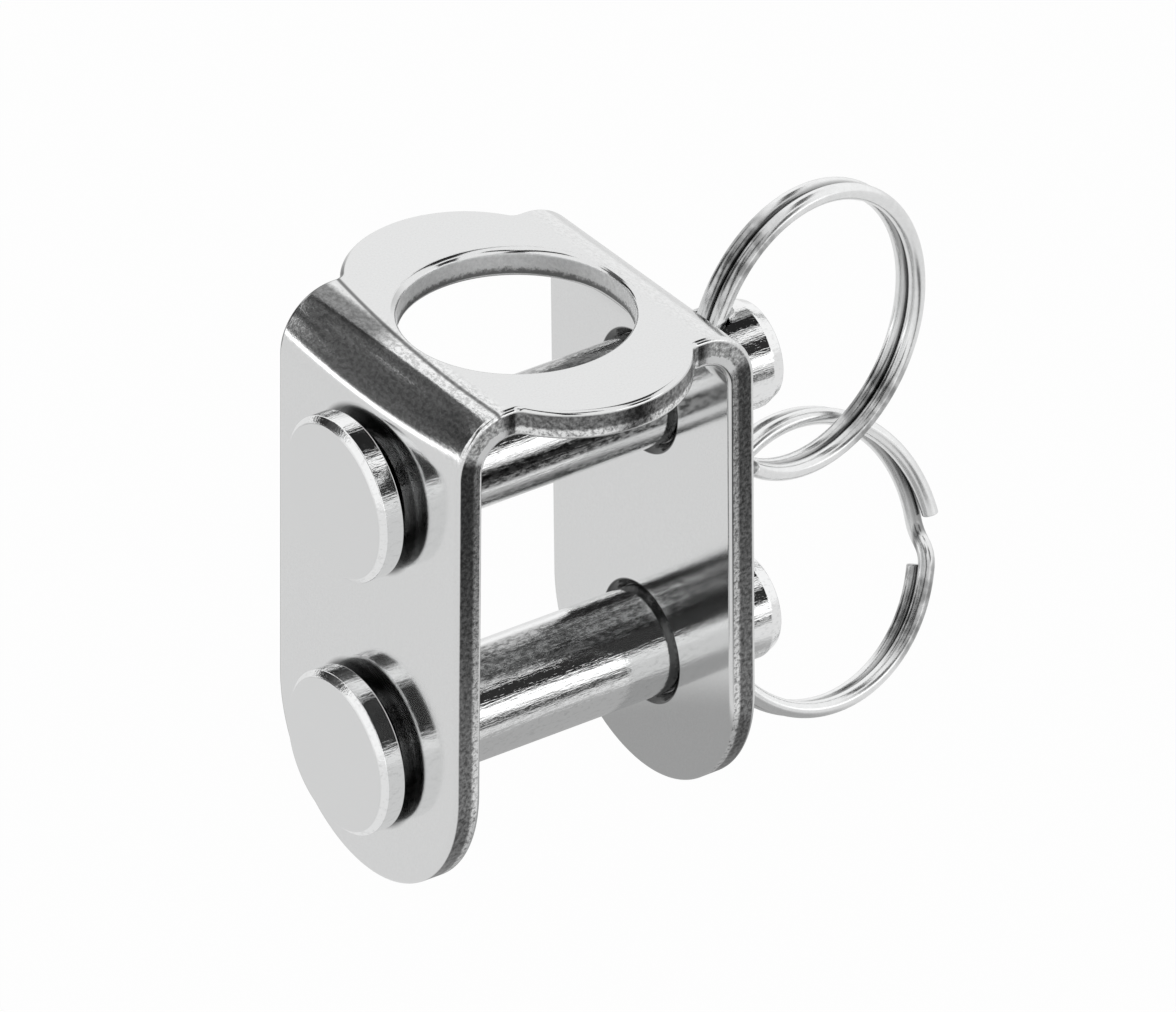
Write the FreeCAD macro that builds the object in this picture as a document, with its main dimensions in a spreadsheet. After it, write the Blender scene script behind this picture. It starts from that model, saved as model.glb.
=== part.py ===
import FreeCAD, Part
import math
import os
import Sketcher

# U-shaped rigging adapter: a stainless strip folded into a U, with a swivel hole in its web,
# two headed clevis pins through its legs, and a split ring through the tail of each pin.
# X runs along the pins, with their heads at -X. -Y is the front, and +Z is up.
# The origin is the centre of the swivel hole, halfway through the web. All lengths are in mm.

sizes = {
    # the folded strip
    "sheet_thickness": 2.2,
    "inner_gap": 20.6,
    "leg_splay_angle": 0.66,
    "leg_width": 21.6,
    "bend_inner_radius": 2.2,
    "web_to_lower_pin": 29.4,
    "leg_end_rise": 0.5,
    "edge_rounding": 0.3,
    # the round ears at the front and the back of the web
    "ear_reach": 14.85,
    "ear_root_from_bend": 0.8,
    "notch_radius": 0.8,
    # the swivel hole
    "swivel_bore": 16.5,
    "bore_top_rounding": 0.5,
    "bore_under_rounding": 0.3,
    # the pins and their holes in the legs
    "pin_diameter": 8.0,
    "pin_spacing": 20.5,
    "pin_clearance": 0.075,
    "leg_hole_chamfer": 0.5,
    "head_diameter": 12.1,
    "head_thickness": 1.9,
    "head_bevel": 0.45,
    "head_rear_rounding": 0.15,
    "tail_past_ring_hole": 4.1,
    "tail_taper_length": 1.5,
    "tail_taper_depth": 0.4,
    "tail_rounding": 0.3,
    "ring_hole_past_leg": 3.25,
    "ring_hole_diameter": 3.4,
    "ring_hole_chamfer": 0.35,
    "upper_head_gap": 1.0,
    "lower_head_gap": 0.8,
    "upper_pin_angle": -2.5,
    "lower_pin_angle": -18.6,
    # the split rings
    "ring_wire": 1.2,
    "ring_outer_diameter": 22.0,
    "ring_turn_gap": 0.05,
    "ring_crossing_angle": 18.0,
    "ring_opened_radius": 11.6,
    "upper_ring_swing_angle": 9.8,
    "upper_ring_tilt_angle": 6.3,
    "upper_ring_crossing_angle": 230.0,
    "lower_ring_swing_angle": 6.4,
    "lower_ring_tilt_angle": -4.5,
    "lower_ring_crossing_angle": -15.0,
    "lower_ring_opened_angle": 65.0,
}

# how near a point has to be to a place for an edge to count as lying there
near = 1e-4
# faces that meet at more than this many degrees make a sharp edge
sharp_angle = 20

doc = FreeCAD.newDocument("rigging_adapter")
sheet = doc.addObject("Spreadsheet::Sheet", "Sizes")
for row, (name, number) in enumerate(sizes.items(), start=1):
    sheet.set(f"A{row}", name.replace("_", " "))
    sheet.set(f"B{row}", str(number))
    sheet.setAlias(f"B{row}", name)
doc.recompute()

# places that several pieces share, as expressions on the sheet
splay = "(Sizes.leg_splay_angle * 1 deg)"
web_top = "(Sizes.sheet_thickness / 2)"
bend_outer_radius = "(Sizes.bend_inner_radius + Sizes.sheet_thickness)"
bend_x = f"(Sizes.inner_gap / 2 - Sizes.bend_inner_radius / cos({splay}))"
bend_z = f"({web_top} - {bend_outer_radius})"
half_width = "(Sizes.leg_width / 2)"
lower_pin_z = "(-Sizes.web_to_lower_pin)"
upper_pin_z = "(Sizes.pin_spacing - Sizes.web_to_lower_pin)"
leg_end_centre = f"({lower_pin_z} + Sizes.leg_end_rise)"
leg_hole_radius = "(Sizes.pin_diameter / 2 + Sizes.pin_clearance)"
# the ears' arcs run from root to root over the strip's edge
ear_root = f"({bend_x} - Sizes.ear_root_from_bend)"
ear_rise = f"(Sizes.ear_reach - {half_width})"
ear_radius = f"(({ear_root} ^ 2 + {ear_rise} ^ 2) / (2 * {ear_rise}))"
ear_centre = f"(Sizes.ear_reach - {ear_radius})"
ring_radius = "((Sizes.ring_outer_diameter - Sizes.ring_wire) / 2)"


def value(expression):
    """The number that an expression on the sheet gives."""
    result = sheet.evalExpression(expression)
    return float(getattr(result, "Value", result))


def leg_face(depth, height):
    """How far from the middle a leg's surface is at a height, depth mm out from its inner
    face. The legs lean out downwards from the bends by the splay."""
    return (f"(Sizes.inner_gap / 2 + {depth} / cos({splay})"
            f" + ({bend_z} - {height}) * tan({splay}))")


# both pins are alike, and reach through the legs as far as the lower one's ring needs
pin_grip = f"(2 * {leg_face('Sizes.sheet_thickness', lower_pin_z)} + Sizes.lower_head_gap)"
ring_hole_from_head = f"({pin_grip} + Sizes.ring_hole_past_leg)"
shank_length = f"({ring_hole_from_head} + Sizes.tail_past_ring_hole)"


def add_sketch(body, name, role):
    """An empty sketch on one of the body's own origin planes."""
    sketch = body.newObject("Sketcher::SketchObject", name)
    plane = next(f for f in body.Origin.OriginFeatures if f.Role == role)
    sketch.AttachmentSupport = [(plane, "")]
    sketch.MapMode = "FlatFace"
    return sketch


def add_dimension(sketch, kind, references, expression):
    """A dimension whose size comes from the sheet."""
    index = sketch.addConstraint(Sketcher.Constraint(kind, *references, value(expression)))
    sketch.setExpression(f"Constraints[{index}]", expression)


def add_outline(sketch, corners):
    """A closed outline through corners (x, y). A corner (x, y, centre_y, x_on, y_on) starts
    an arc about that height, which runs by the point (x_on, y_on) to the next corner."""
    first = sketch.GeometryCount
    points = [FreeCAD.Vector(value(c[0]), value(c[1]), 0) for c in corners]
    ends = points[1:] + points[:1]
    for corner, start, end in zip(corners, points, ends):
        if len(corner) == 2:
            sketch.addGeometry(Part.LineSegment(start, end))
        else:
            on_arc = FreeCAD.Vector(value(corner[3]), value(corner[4]), 0)
            sketch.addGeometry(Part.Arc(start, on_arc, end))

    def vertex(edge, point):
        # an arc always runs anticlockwise, so its start may be either end of the edge
        return min((1, 2), key=lambda which: (sketch.getPoint(edge, which) - point).Length)

    for k, corner in enumerate(corners):
        edge = first + k
        following = first + (k + 1) % len(corners)
        start = vertex(edge, points[k])
        sketch.addConstraint(Sketcher.Constraint(
            "Coincident", edge, 3 - start, following, vertex(following, ends[k])))
        add_dimension(sketch, "DistanceX", (-1, 1, edge, start), corner[0])
        add_dimension(sketch, "DistanceY", (-1, 1, edge, start), corner[1])
        if len(corner) > 2:
            add_dimension(sketch, "DistanceY", (-1, 1, edge, 3), corner[2])


def add_circle(sketch, x, y, radius):
    edge = sketch.addGeometry(Part.Circle(
        FreeCAD.Vector(value(x), value(y), 0), FreeCAD.Vector(0, 0, 1), value(radius)))
    add_dimension(sketch, "DistanceX", (-1, 1, edge, 3), x)
    add_dimension(sketch, "DistanceY", (-1, 1, edge, 3), y)
    add_dimension(sketch, "Radius", (edge,), radius)


def add_feature(body, kind, name, profile, **settings):
    feature = body.newObject(f"PartDesign::{kind}", name)
    feature.Profile = profile
    for setting, setting_value in settings.items():
        setattr(feature, setting, setting_value)
    return feature


def on_edges(body, kind, name, size_property, size, chosen):
    """A fillet or chamfer on those edges of the body so far that chosen(edge) picks."""
    doc.recompute()
    base = body.Tip
    names = [f"Edge{k}" for k, edge in enumerate(base.Shape.Edges, start=1) if chosen(edge)]
    if not names:
        raise RuntimeError(f"{name} finds no edge")
    feature = body.newObject(f"PartDesign::{kind}", name)
    feature.Base = (base, names)
    feature.setExpression(size_property, size)
    return feature


def is_circle(edge, radius):
    return isinstance(edge.Curve, Part.Circle) and abs(edge.Curve.Radius - radius) < near


def is_mouth(edge, height, radius):
    """Whether an edge goes round a hole that runs along X at a height."""
    points = edge.discretize(5)
    return all(abs(math.hypot(p.y, p.z - height) - radius) < near for p in points) and (
        max(p.x for p in points) - min(p.x for p in points) < radius / 2)


def middle(edge):
    return edge.valueAt((edge.FirstParameter + edge.LastParameter) / 2)


def sharp_edges(shape):
    """The edges where two faces meet at an angle, not those where one runs smoothly on."""
    found = []
    for edge in shape.Edges:
        faces = shape.ancestorsOfType(edge, Part.Face)
        if len(faces) != 2:
            continue
        point = middle(edge)
        normals = []
        for face in faces:
            u, v = face.Surface.parameter(point)
            normals.append(face.normalAt(u, v))
        if normals[0].getAngle(normals[1]) > math.radians(sharp_angle):
            found.append(edge)
    return found


def on_bend(radius, angle):
    """A point on the right-hand bend, at an angle up from level."""
    return (f"({bend_x} + {radius} * cos({angle}))", f"({bend_z} + {radius} * sin({angle}))")


def make_bracket():
    body = doc.addObject("PartDesign::Body", "u_bracket")
    body.Label = "u_bracket"

    # the strip's side view, bent twice, with legs left long for the round ends
    below = f"({leg_end_centre} - {half_width} - Sizes.sheet_thickness)"
    outer_x, outer_z = on_bend(bend_outer_radius, splay)
    inner_x, inner_z = on_bend("Sizes.bend_inner_radius", splay)
    outer_mid_x, outer_mid_z = on_bend(bend_outer_radius, "45 deg")
    inner_mid_x, inner_mid_z = on_bend("Sizes.bend_inner_radius", "45 deg")
    inner_end_x = leg_face("0", below)
    outer_end_x = leg_face("Sizes.sheet_thickness", below)
    fold = add_sketch(body, "fold_profile", "XZ_Plane")
    add_outline(fold, [
        (f"-{outer_end_x}", below),
        (f"-{outer_x}", outer_z, bend_z, f"-{outer_mid_x}", outer_mid_z),
        (f"-{bend_x}", web_top),
        (bend_x, web_top, bend_z, outer_mid_x, outer_mid_z),
        (outer_x, outer_z),
        (outer_end_x, below),
        (inner_end_x, below),
        (inner_x, inner_z, bend_z, inner_mid_x, inner_mid_z),
        (bend_x, f"-{web_top}"),
        (f"-{bend_x}", f"-{web_top}", bend_z, f"-{inner_mid_x}", inner_mid_z),
        (f"-{inner_x}", inner_z),
        (f"-{inner_end_x}", below),
    ])
    strip = add_feature(body, "Pad", "strip", fold, SideType="Symmetric")
    strip.setExpression("Length", "Sizes.leg_width")

    # both leg ends are full rounds, a little above the lower pin
    side = f"({half_width} + Sizes.sheet_thickness)"
    under = f"({below} - Sizes.sheet_thickness)"
    ends = add_sketch(body, "leg_end_outline", "YZ_Plane")
    add_outline(ends, [
        (f"-{side}", leg_end_centre),
        (f"-{half_width}", leg_end_centre, leg_end_centre, "0",
         f"({leg_end_centre} - {half_width})"),
        (half_width, leg_end_centre),
        (side, leg_end_centre),
        (side, under),
        (f"-{side}", under),
    ])
    add_feature(body, "Pocket", "leg_ends", ends, SideType="Symmetric", Type="ThroughAll")

    # the web swells into a round ear at the front and at the back
    ears = add_sketch(body, "ear_outline", "XY_Plane")
    add_outline(ears, [
        (f"-{ear_root}", f"-{half_width}", f"-{ear_centre}", "0", "-Sizes.ear_reach"),
        (ear_root, f"-{half_width}"),
        (ear_root, half_width, ear_centre, "0", "Sizes.ear_reach"),
        (f"-{ear_root}", half_width),
    ])
    add_feature(body, "Pad", "ears", ears, SideType="Symmetric").setExpression(
        "Length", "Sizes.sheet_thickness")

    # where an ear leaves the strip its corner is rounded out, then every sheared edge is eased
    doc.recompute()
    width = value(half_width)
    flat = value(bend_x)
    on_edges(body, "Fillet", "ear_notches", "Radius", "Sizes.notch_radius",
             lambda e: abs(abs(middle(e).y) - width) < near and abs(middle(e).x) < flat - near
             and abs(middle(e).z) < near)
    doc.recompute()
    sharp = sharp_edges(body.Tip.Shape)
    on_edges(body, "Fillet", "sheared_edges", "Radius", "Sizes.edge_rounding",
             lambda e: any(e.isSame(other) for other in sharp))

    # the swivel hole, with a rounded lip above and below
    bore = add_sketch(body, "bore_outline", "XY_Plane")
    add_circle(bore, "0", "0", "Sizes.swivel_bore / 2")
    add_feature(body, "Pocket", "swivel_bore", bore, SideType="Symmetric").setExpression(
        "Length", "Sizes.sheet_thickness * 2")
    doc.recompute()
    bore_radius = value("Sizes.swivel_bore / 2")
    below_face = value("Sizes.sheet_thickness / 4")

    def on_bore(edge, above):
        point = middle(edge)
        round_bore = abs(math.hypot(point.x, point.y) - bore_radius) < near
        return round_bore and (point.z > below_face if above else point.z < -below_face)

    on_edges(body, "Fillet", "bore_top_lip", "Radius", "Sizes.bore_top_rounding",
             lambda e: on_bore(e, True))
    on_edges(body, "Fillet", "bore_under_lip", "Radius", "Sizes.bore_under_rounding",
             lambda e: on_bore(e, False))

    # the pin holes, bored through both legs in line and chamfered on both faces
    holes = add_sketch(body, "pin_hole_outline", "YZ_Plane")
    for height in (lower_pin_z, upper_pin_z):
        add_circle(holes, "0", height, leg_hole_radius)
    add_feature(body, "Pocket", "pin_holes", holes, SideType="Symmetric", Type="ThroughAll")
    hole_radius = value(leg_hole_radius)
    axes = [value(lower_pin_z), value(upper_pin_z)]
    on_edges(body, "Chamfer", "pin_hole_chamfers", "Size", "Sizes.leg_hole_chamfer",
             lambda e: any(is_mouth(e, height, hole_radius) for height in axes))
    return body


def make_pin(name, height, gap, turn):
    """A clevis pin, turned about its own X axis. Its own origin is under the head."""
    body = doc.addObject("PartDesign::Body", name)
    body.Label = name
    head_radius = "(Sizes.head_diameter / 2)"
    shank_radius = "(Sizes.pin_diameter / 2)"
    profile = add_sketch(body, f"{name}_profile", "XZ_Plane")
    add_outline(profile, [
        ("-Sizes.head_thickness", "0"),
        ("-Sizes.head_thickness", f"{head_radius} - Sizes.head_bevel"),
        ("Sizes.head_bevel - Sizes.head_thickness", head_radius),
        ("0", head_radius),
        ("0", shank_radius),
        (f"{shank_length} - Sizes.tail_taper_length", shank_radius),
        (shank_length, f"{shank_radius} - Sizes.tail_taper_depth"),
        (shank_length, "0"),
    ])
    add_feature(body, "Revolution", f"{name}_turned", profile,
                ReferenceAxis=(profile, ["H_Axis"]), Angle=360)
    tail_radius = value(f"{shank_radius} - Sizes.tail_taper_depth")
    on_edges(body, "Fillet", f"{name}_tail_end", "Radius", "Sizes.tail_rounding",
             lambda e: is_circle(e, tail_radius))
    rim_radius = value(head_radius)
    on_edges(body, "Fillet", f"{name}_head_rear", "Radius", "Sizes.head_rear_rounding",
             lambda e: is_circle(e, rim_radius) and abs(middle(e).x) < near)
    cross = add_sketch(body, f"{name}_ring_hole_outline", "XY_Plane")
    add_circle(cross, ring_hole_from_head, "0", "Sizes.ring_hole_diameter / 2")
    add_feature(body, "Pocket", f"{name}_ring_hole", cross, SideType="Symmetric",
                Type="ThroughAll")
    hole_x = value(ring_hole_from_head)
    hole_radius = value("Sizes.ring_hole_diameter / 2")
    on_edges(body, "Chamfer", f"{name}_ring_hole_chamfers", "Size", "Sizes.ring_hole_chamfer",
             lambda e: all(abs(math.hypot(p.x - hole_x, p.y) - hole_radius) < near
                           for p in e.discretize(5)) and e.Length > math.pi * hole_radius)
    body.setExpression("Placement", (
        f"placement(vector(-{leg_face('Sizes.sheet_thickness', height)} - {gap}; 0; {height});"
        f" rotation(vector(1; 0; 0); {turn} * 1 deg))"))
    return body


def make_bend(name, start, along, towards, radius, angle):
    """A stretch of ring wire that leaves start along one direction and bends towards another,
    square to it, through an angle in degrees."""
    bend = doc.addObject("Part::Torus", name)
    bend.Radius1 = radius
    bend.setExpression("Radius2", "Sizes.ring_wire / 2")
    bend.Angle3 = angle
    bend.Placement = FreeCAD.Placement(
        start + towards * radius,
        FreeCAD.Rotation(-towards, along, towards.cross(-along), "ZXY"))
    return bend


def make_ring(name, pin, swing, tilt, crossing_at, opened="0"):
    """A split ring of two turns. Beside its cut ends the wire crosses over from the front turn
    to the back turn, at an angle counted from the point farthest from the pin. The crossing is
    two equal bends that meet halfway. Where the ring has been opened, the wire's front end
    stands off over that angle in a wider bend."""
    radius = value(ring_radius)
    offset = value("(Sizes.ring_wire + Sizes.ring_turn_gap) / 2")
    half = math.radians(value("Sizes.ring_crossing_angle") / 2)
    place = math.radians(value(crossing_at))
    turn_angle = 360 - 2 * math.degrees(half)
    opened_radius = value("Sizes.ring_opened_radius")
    opened_angle = value(opened)
    opened_from = place + half + math.radians(opened_angle)

    def outward(angle):
        return FreeCAD.Vector(math.cos(angle), math.sin(angle), 0)

    def along(angle):
        return FreeCAD.Vector(-math.sin(angle), math.cos(angle), 0)

    def on_ring(angle, height):
        return outward(angle) * radius + FreeCAD.Vector(0, 0, height)

    # both bends have tangents of the same reach, which meet where they join
    reach = (math.hypot(radius, offset) - radius * math.cos(half)) / math.sin(half)
    front = on_ring(place - half, offset)
    back = on_ring(place + half, -offset)
    joint = outward(place) * math.hypot(radius, offset)
    slope = (joint - front - along(place - half) * reach).normalize()
    bend_angle = along(place - half).getAngle(slope)
    bend_radius = reach / math.tan(bend_angle / 2)

    def square_to(direction, chord):
        return (chord - direction * chord.dot(direction)).normalize()

    first_towards = square_to(along(place - half), joint - front)
    second_towards = square_to(slope, back - joint)
    bends = [
        make_bend(f"{name}_front_turn", on_ring(opened_from, offset), along(opened_from),
                  -outward(opened_from), radius, turn_angle - opened_angle),
        make_bend(f"{name}_crossing_out", front, along(place - half), first_towards,
                  bend_radius, math.degrees(bend_angle)),
        make_bend(f"{name}_crossing_back", joint, slope, second_towards,
                  bend_radius, math.degrees(bend_angle)),
        make_bend(f"{name}_back_turn", back, along(place + half),
                  -outward(place + half), radius, turn_angle),
    ]
    if opened_angle > 0:
        bends.append(make_bend(
            f"{name}_opened_end", on_ring(opened_from, offset), -along(opened_from),
            -outward(opened_from), opened_radius, opened_angle * radius / opened_radius))
    ring = doc.addObject("Part::MultiFuse", name)
    ring.Label = name
    ring.Shapes = bends

    # the ring threads the pin's cross hole, bulging as far one way inside it as the other
    bulge = f"({ring_radius} - sqrt({ring_radius} ^ 2 - (Sizes.pin_diameter / 2) ^ 2))"
    ring.setExpression("Placement", (
        f"{pin.Name}.Placement"
        f" * placement(vector({ring_hole_from_head}; 0; 0);"
        f" rotation(vector(0; 0; 1); {swing} * 1 deg))"
        f" * placement(vector(0; 0; 0); rotation(vector(0; 1; 0); {tilt} * 1 deg))"
        f" * placement(vector({ring_radius} - {bulge} / 2; 0; 0);"
        f" rotation(vector(1; 0; 0); 90 deg))"))
    return ring


bracket = make_bracket()
upper_pin = make_pin("upper_pin", upper_pin_z, "Sizes.upper_head_gap", "Sizes.upper_pin_angle")
lower_pin = make_pin("lower_pin", lower_pin_z, "Sizes.lower_head_gap", "Sizes.lower_pin_angle")
upper_ring = make_ring("upper_ring", upper_pin, "Sizes.upper_ring_swing_angle",
                       "Sizes.upper_ring_tilt_angle", "Sizes.upper_ring_crossing_angle")
lower_ring = make_ring("lower_ring", lower_pin, "Sizes.lower_ring_swing_angle",
                       "Sizes.lower_ring_tilt_angle", "Sizes.lower_ring_crossing_angle",
                       "Sizes.lower_ring_opened_angle")
doc.recompute()

pieces = [bracket, upper_pin, lower_pin, upper_ring, lower_ring]
failed = [f"{o.Label}: {o.State}" for o in doc.Objects if {"Invalid", "Error"} & set(o.State)]
failed += [f"{p.Label}: shape" for p in pieces if p.Shape.isNull() or not p.Shape.isValid()]
if failed:
    raise RuntimeError("; ".join(failed))

os.makedirs("parts", exist_ok=True)
for piece in pieces:
    piece.Shape.exportStep(os.path.join("parts", f"{piece.Label}.step"))
    box = piece.Shape.BoundBox
    print(f"{piece.Label}: {len(piece.Shape.Solids)} solid, {len(piece.Shape.Faces)} faces,"
          f" {piece.Shape.Volume:.1f} mm3, {box.XLength:.2f} x {box.YLength:.2f} x"
          f" {box.ZLength:.2f} mm")
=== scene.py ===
import math

import bmesh
import bpy
from mathutils import Matrix, Vector
from mathutils.geometry import delaunay_2d_cdt


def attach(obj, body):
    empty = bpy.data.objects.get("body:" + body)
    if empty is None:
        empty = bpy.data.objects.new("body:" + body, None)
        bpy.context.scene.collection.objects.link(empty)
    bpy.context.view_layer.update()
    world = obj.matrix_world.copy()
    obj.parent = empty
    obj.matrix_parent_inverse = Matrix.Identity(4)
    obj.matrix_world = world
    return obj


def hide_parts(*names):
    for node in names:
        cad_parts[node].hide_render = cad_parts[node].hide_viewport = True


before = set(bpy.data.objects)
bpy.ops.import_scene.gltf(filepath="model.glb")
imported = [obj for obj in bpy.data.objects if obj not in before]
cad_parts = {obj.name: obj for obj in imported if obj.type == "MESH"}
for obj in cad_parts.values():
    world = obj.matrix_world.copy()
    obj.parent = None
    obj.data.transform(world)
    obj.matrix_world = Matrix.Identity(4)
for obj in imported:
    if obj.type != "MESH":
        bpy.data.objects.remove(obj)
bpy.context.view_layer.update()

mm = 0.001


# a value in a shader: maths on it adds Math nodes
class Sock:
    def __init__(self, maker, link):
        self.maker = maker
        self.link = link

    def maths(self, operation, *others):
        values = {f"in{k}": value for k, value in enumerate((self,) + others)}
        return self.maker.node("Math", {"operation": operation}, **values)

    def __add__(self, other): return self.maths("ADD", other)
    def __radd__(self, other): return self.maths("ADD", other)
    def __sub__(self, other): return self.maths("SUBTRACT", other)
    def __rsub__(self, other): return self.maker.node("Math", {"operation": "SUBTRACT"}, in0=other, in1=self)
    def __mul__(self, other): return self.maths("MULTIPLY", other)
    def __rmul__(self, other): return self.maths("MULTIPLY", other)
    def __truediv__(self, other): return self.maths("DIVIDE", other)
    def __pow__(self, other): return self.maths("POWER", other)
    def __abs__(self): return self.maths("ABSOLUTE")

    def root(self): return self.maths("SQRT")
    def least(self, other): return self.maths("MINIMUM", other)
    def most(self, other): return self.maths("MAXIMUM", other)
    def turn(self, other): return self.maths("ARCTAN2", other)

    # 0 up to low, 1 from high on, and a soft ramp between
    def rise(self, low, high):
        return self.maker.node("MapRange", {"interpolation_type": "SMOOTHSTEP"}, "Result",
                               Value=self, From_Min=low, From_Max=high)

    # 1 between two places, with soft ends
    def band(self, low, high, soft):
        return self.rise(low - soft, low + soft) * (1 - self.rise(high - soft, high + soft))


# one node tree
class Maker:
    def __init__(self, owner):
        owner.use_nodes = True
        self.tree = owner.node_tree
        self.tree.nodes.clear()

    # any node: its type, its settings, the output or outputs wanted, and its inputs by name or as in0, in1
    def node(self, kind, settings=None, out=0, **inputs):
        made = self.tree.nodes.new("ShaderNode" + kind)
        for name, setting in (settings or {}).items():
            setattr(made, name, setting)
        for name, item in inputs.items():
            numbered = name[:2] == "in" and name[2:].isdigit()
            slot = made.inputs[int(name[2:]) if numbered else name.replace("_", " ")]
            if isinstance(item, Sock):
                self.tree.links.new(item.link, slot)
            else:
                slot.default_value = item
        if isinstance(out, tuple):
            return [Sock(self, made.outputs[one]) for one in out]
        return Sock(self, made.outputs[out]) if made.outputs else None

    def mix(self, amount, first, second):
        return self.node("Mix", {"data_type": "RGBA"}, 2, in0=amount, in6=first, in7=second)

    def split(self, vector):
        return self.node("SeparateXYZ", out=(0, 1, 2), in0=vector)

    # the place on the piece, in mm
    def place(self, stretch=(1, 1, 1)):
        return self.node("VectorMath", {"operation": "MULTIPLY"}, in0=self.node("TexCoord", out="Object"),
                         in1=tuple(s / mm for s in stretch))

    # the three numbers that a mesh carries at each point
    def marks(self, name):
        carried = self.node("Attribute", {"attribute_type": "GEOMETRY", "attribute_name": name}, "Vector")
        return self.split(carried)

    # noise of a size in mm, about 0.5 on average
    def noise(self, size, detail=2.0, stretch=(1, 1, 1), rough=0.5):
        return self.node("TexNoise", {"noise_dimensions": "3D"}, Vector=self.place(stretch), Scale=1.0 / size,
                         Detail=detail, Roughness=rough)

    # which rays look at the tree: from the camera, from gloss, and through glass
    def rays(self):
        return self.node("LightPath", out=("Is Camera Ray", "Is Glossy Ray", "Is Transmission Ray"))

    # bare steel from its lightness, roughness and grain height in mm
    def steel(self, level, rough, height):
        bump = self.node("Bump", Height=height, Distance=mm, Strength=1.0)
        self.finish(self.node("BsdfPrincipled", Base_Color=self.mix(level, grey(0.0), (0.995, 1.0, 1.0, 1.0)),
                              Metallic=1.0, Roughness=rough, Normal=bump))

    def finish(self, shader, kind="Material"):
        self.node("Output" + kind, Surface=shader)


def grey(level):
    return (level, level, level, 1.0)


def addObject(name, data):
    made = bpy.data.objects.new(name, data)
    bpy.context.scene.collection.objects.link(made)
    return made


# three numbers at each point of a mesh, for its material
def carry(mesh, name, values):
    data = mesh.attributes.new(name, "FLOAT_VECTOR", "POINT").data
    data.foreach_set("vector", [number for value in values for number in value])


# camera: where it stands seen from the part (degrees), how far off (m), and the spot it aims at (mm)
cameraSet = {"azimuth": -35.12, "elevation": 31.28, "distance": 1.209, "lens": 533.45, "sensor": 36.0,
             "aim": (5.2425, -1.1205, -15.951), "nearest": 0.05, "farthest": 20.0}


def makeCamera(c):
    az, el = math.radians(c["azimuth"]), math.radians(c["elevation"])
    back = Vector((math.sin(az) * math.cos(el), -math.cos(az) * math.cos(el), math.sin(el)))
    data = bpy.data.cameras.new("camera")
    data.sensor_width = c["sensor"]
    data.sensor_fit = "HORIZONTAL"
    data.lens = c["lens"]
    data.clip_start = c["nearest"]
    data.clip_end = c["farthest"]
    camera = addObject("camera", data)
    camera.location = Vector(c["aim"]) * mm + back * c["distance"]
    camera.rotation_euler = back.to_track_quat("Z", "Y").to_euler()
    bpy.context.scene.camera = camera
    print("camera placed")


# studio: floor, world, dark flags and lamps. The floor (mm) is just below the lowest that the lower ring
# swings. The part itself is lit with the ambient share of the white that the eye and the metal see.
studio = {"floorLevel": -43.0, "floorSize": 6.0, "floorColour": 0.8, "shadowShare": 0.02,
          "shadowInMetal": 0.10, "floorInMetal": 0.86, "ambient": 0.35,
          # what the metal sees of the floor: shaded under the part, dark in front and far behind
          # (middle and half sizes in mm, and how far the long side is turned)
          "shades": [{"middle": (10.0, -4.0), "size": (23.0, 23.0), "turn": 0, "depth": 0.50},
                     {"middle": (57.0, -99.5), "size": (90.0, 28.5), "turn": -53, "depth": 0.96},
                     {"middle": (-123.0, 192.0), "size": (133.0, 26.0), "turn": 121.4, "depth": 0.94}],
          "shadeSoft": (0.65, 1.0),
          # each flag: its path as azimuths from +Y towards +X and elevations, half width and grey
          "flags": [("rightHighFlag", [(116, 56), (108, 58.7), (81, 60.2), (56, 53.8), (42, 44)], 9, 0.02),
                    ("rightLowFlag", [(149, 17), (148, 22), (144.7, 31.6), (138.1, 42.6), (135, 46)],
                     11, 0.03),
                    ("leftFlag", [(-150, 12), (-147, 24), (-143.6, 34), (-129.7, 50.3), (-98.8, 60.2),
                                  (-66, 58)], 9, 0.03),
                    ("frontHighFlag", [(-148, 48), (-158, 54), (-172, 58), (172, 59)], 9, 0.03),
                    ("backFlag", [(-4, 46), (-16.3, 43.3), (-35, 31.3), (-41.7, 20.5), (-45, 7), (-46, 3)],
                     10, 0.11),
                    ("backLowFlag", [(-24, 30), (-30, 20), (-31, 8), (-31, 0)], 8, 0.03),
                    ("bevelFlag", [(-10, 5), (-17, 13), (-24.6, 20.4), (-34, 27.8), (-43, 32.5), (-54, 37)],
                     8, 0.03)],
          "flagDistance": 0.8, "flagSteps": 6, "flagColumns": 6, "softEnds": 0.08, "softSides": 0.14,
          # each lamp: place, width and height in m, strength, and whether the metal mirrors it
          "lamps": [("keyLamp", (0.30, 0.42, 0.34), (0.26, 0.26), 1.2, False),
                    ("fillLamp", (-0.35, -0.45, 0.45), (0.40, 0.40), 0.9, False),
                    ("frontStrip", (0.347, -0.602, 0.080), (0.60, 0.13), 0.6, True),
                    ("backStrip", (-0.490, 0.490, 0.022), (0.50, 0.07), 0.9, True)],
          "lampAim": (0, 0, -0.02)}


def makeWorld(s):
    world = bpy.data.worlds.new("studioWorld")
    bpy.context.scene.world = world
    m = Maker(world)
    camera, glossy, through = m.rays()
    strength = camera.most(glossy).most(through) * (1.0 - s["ambient"]) + s["ambient"]
    m.finish(m.node("Background", Color=grey(1.0), Strength=strength), "World")


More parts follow.
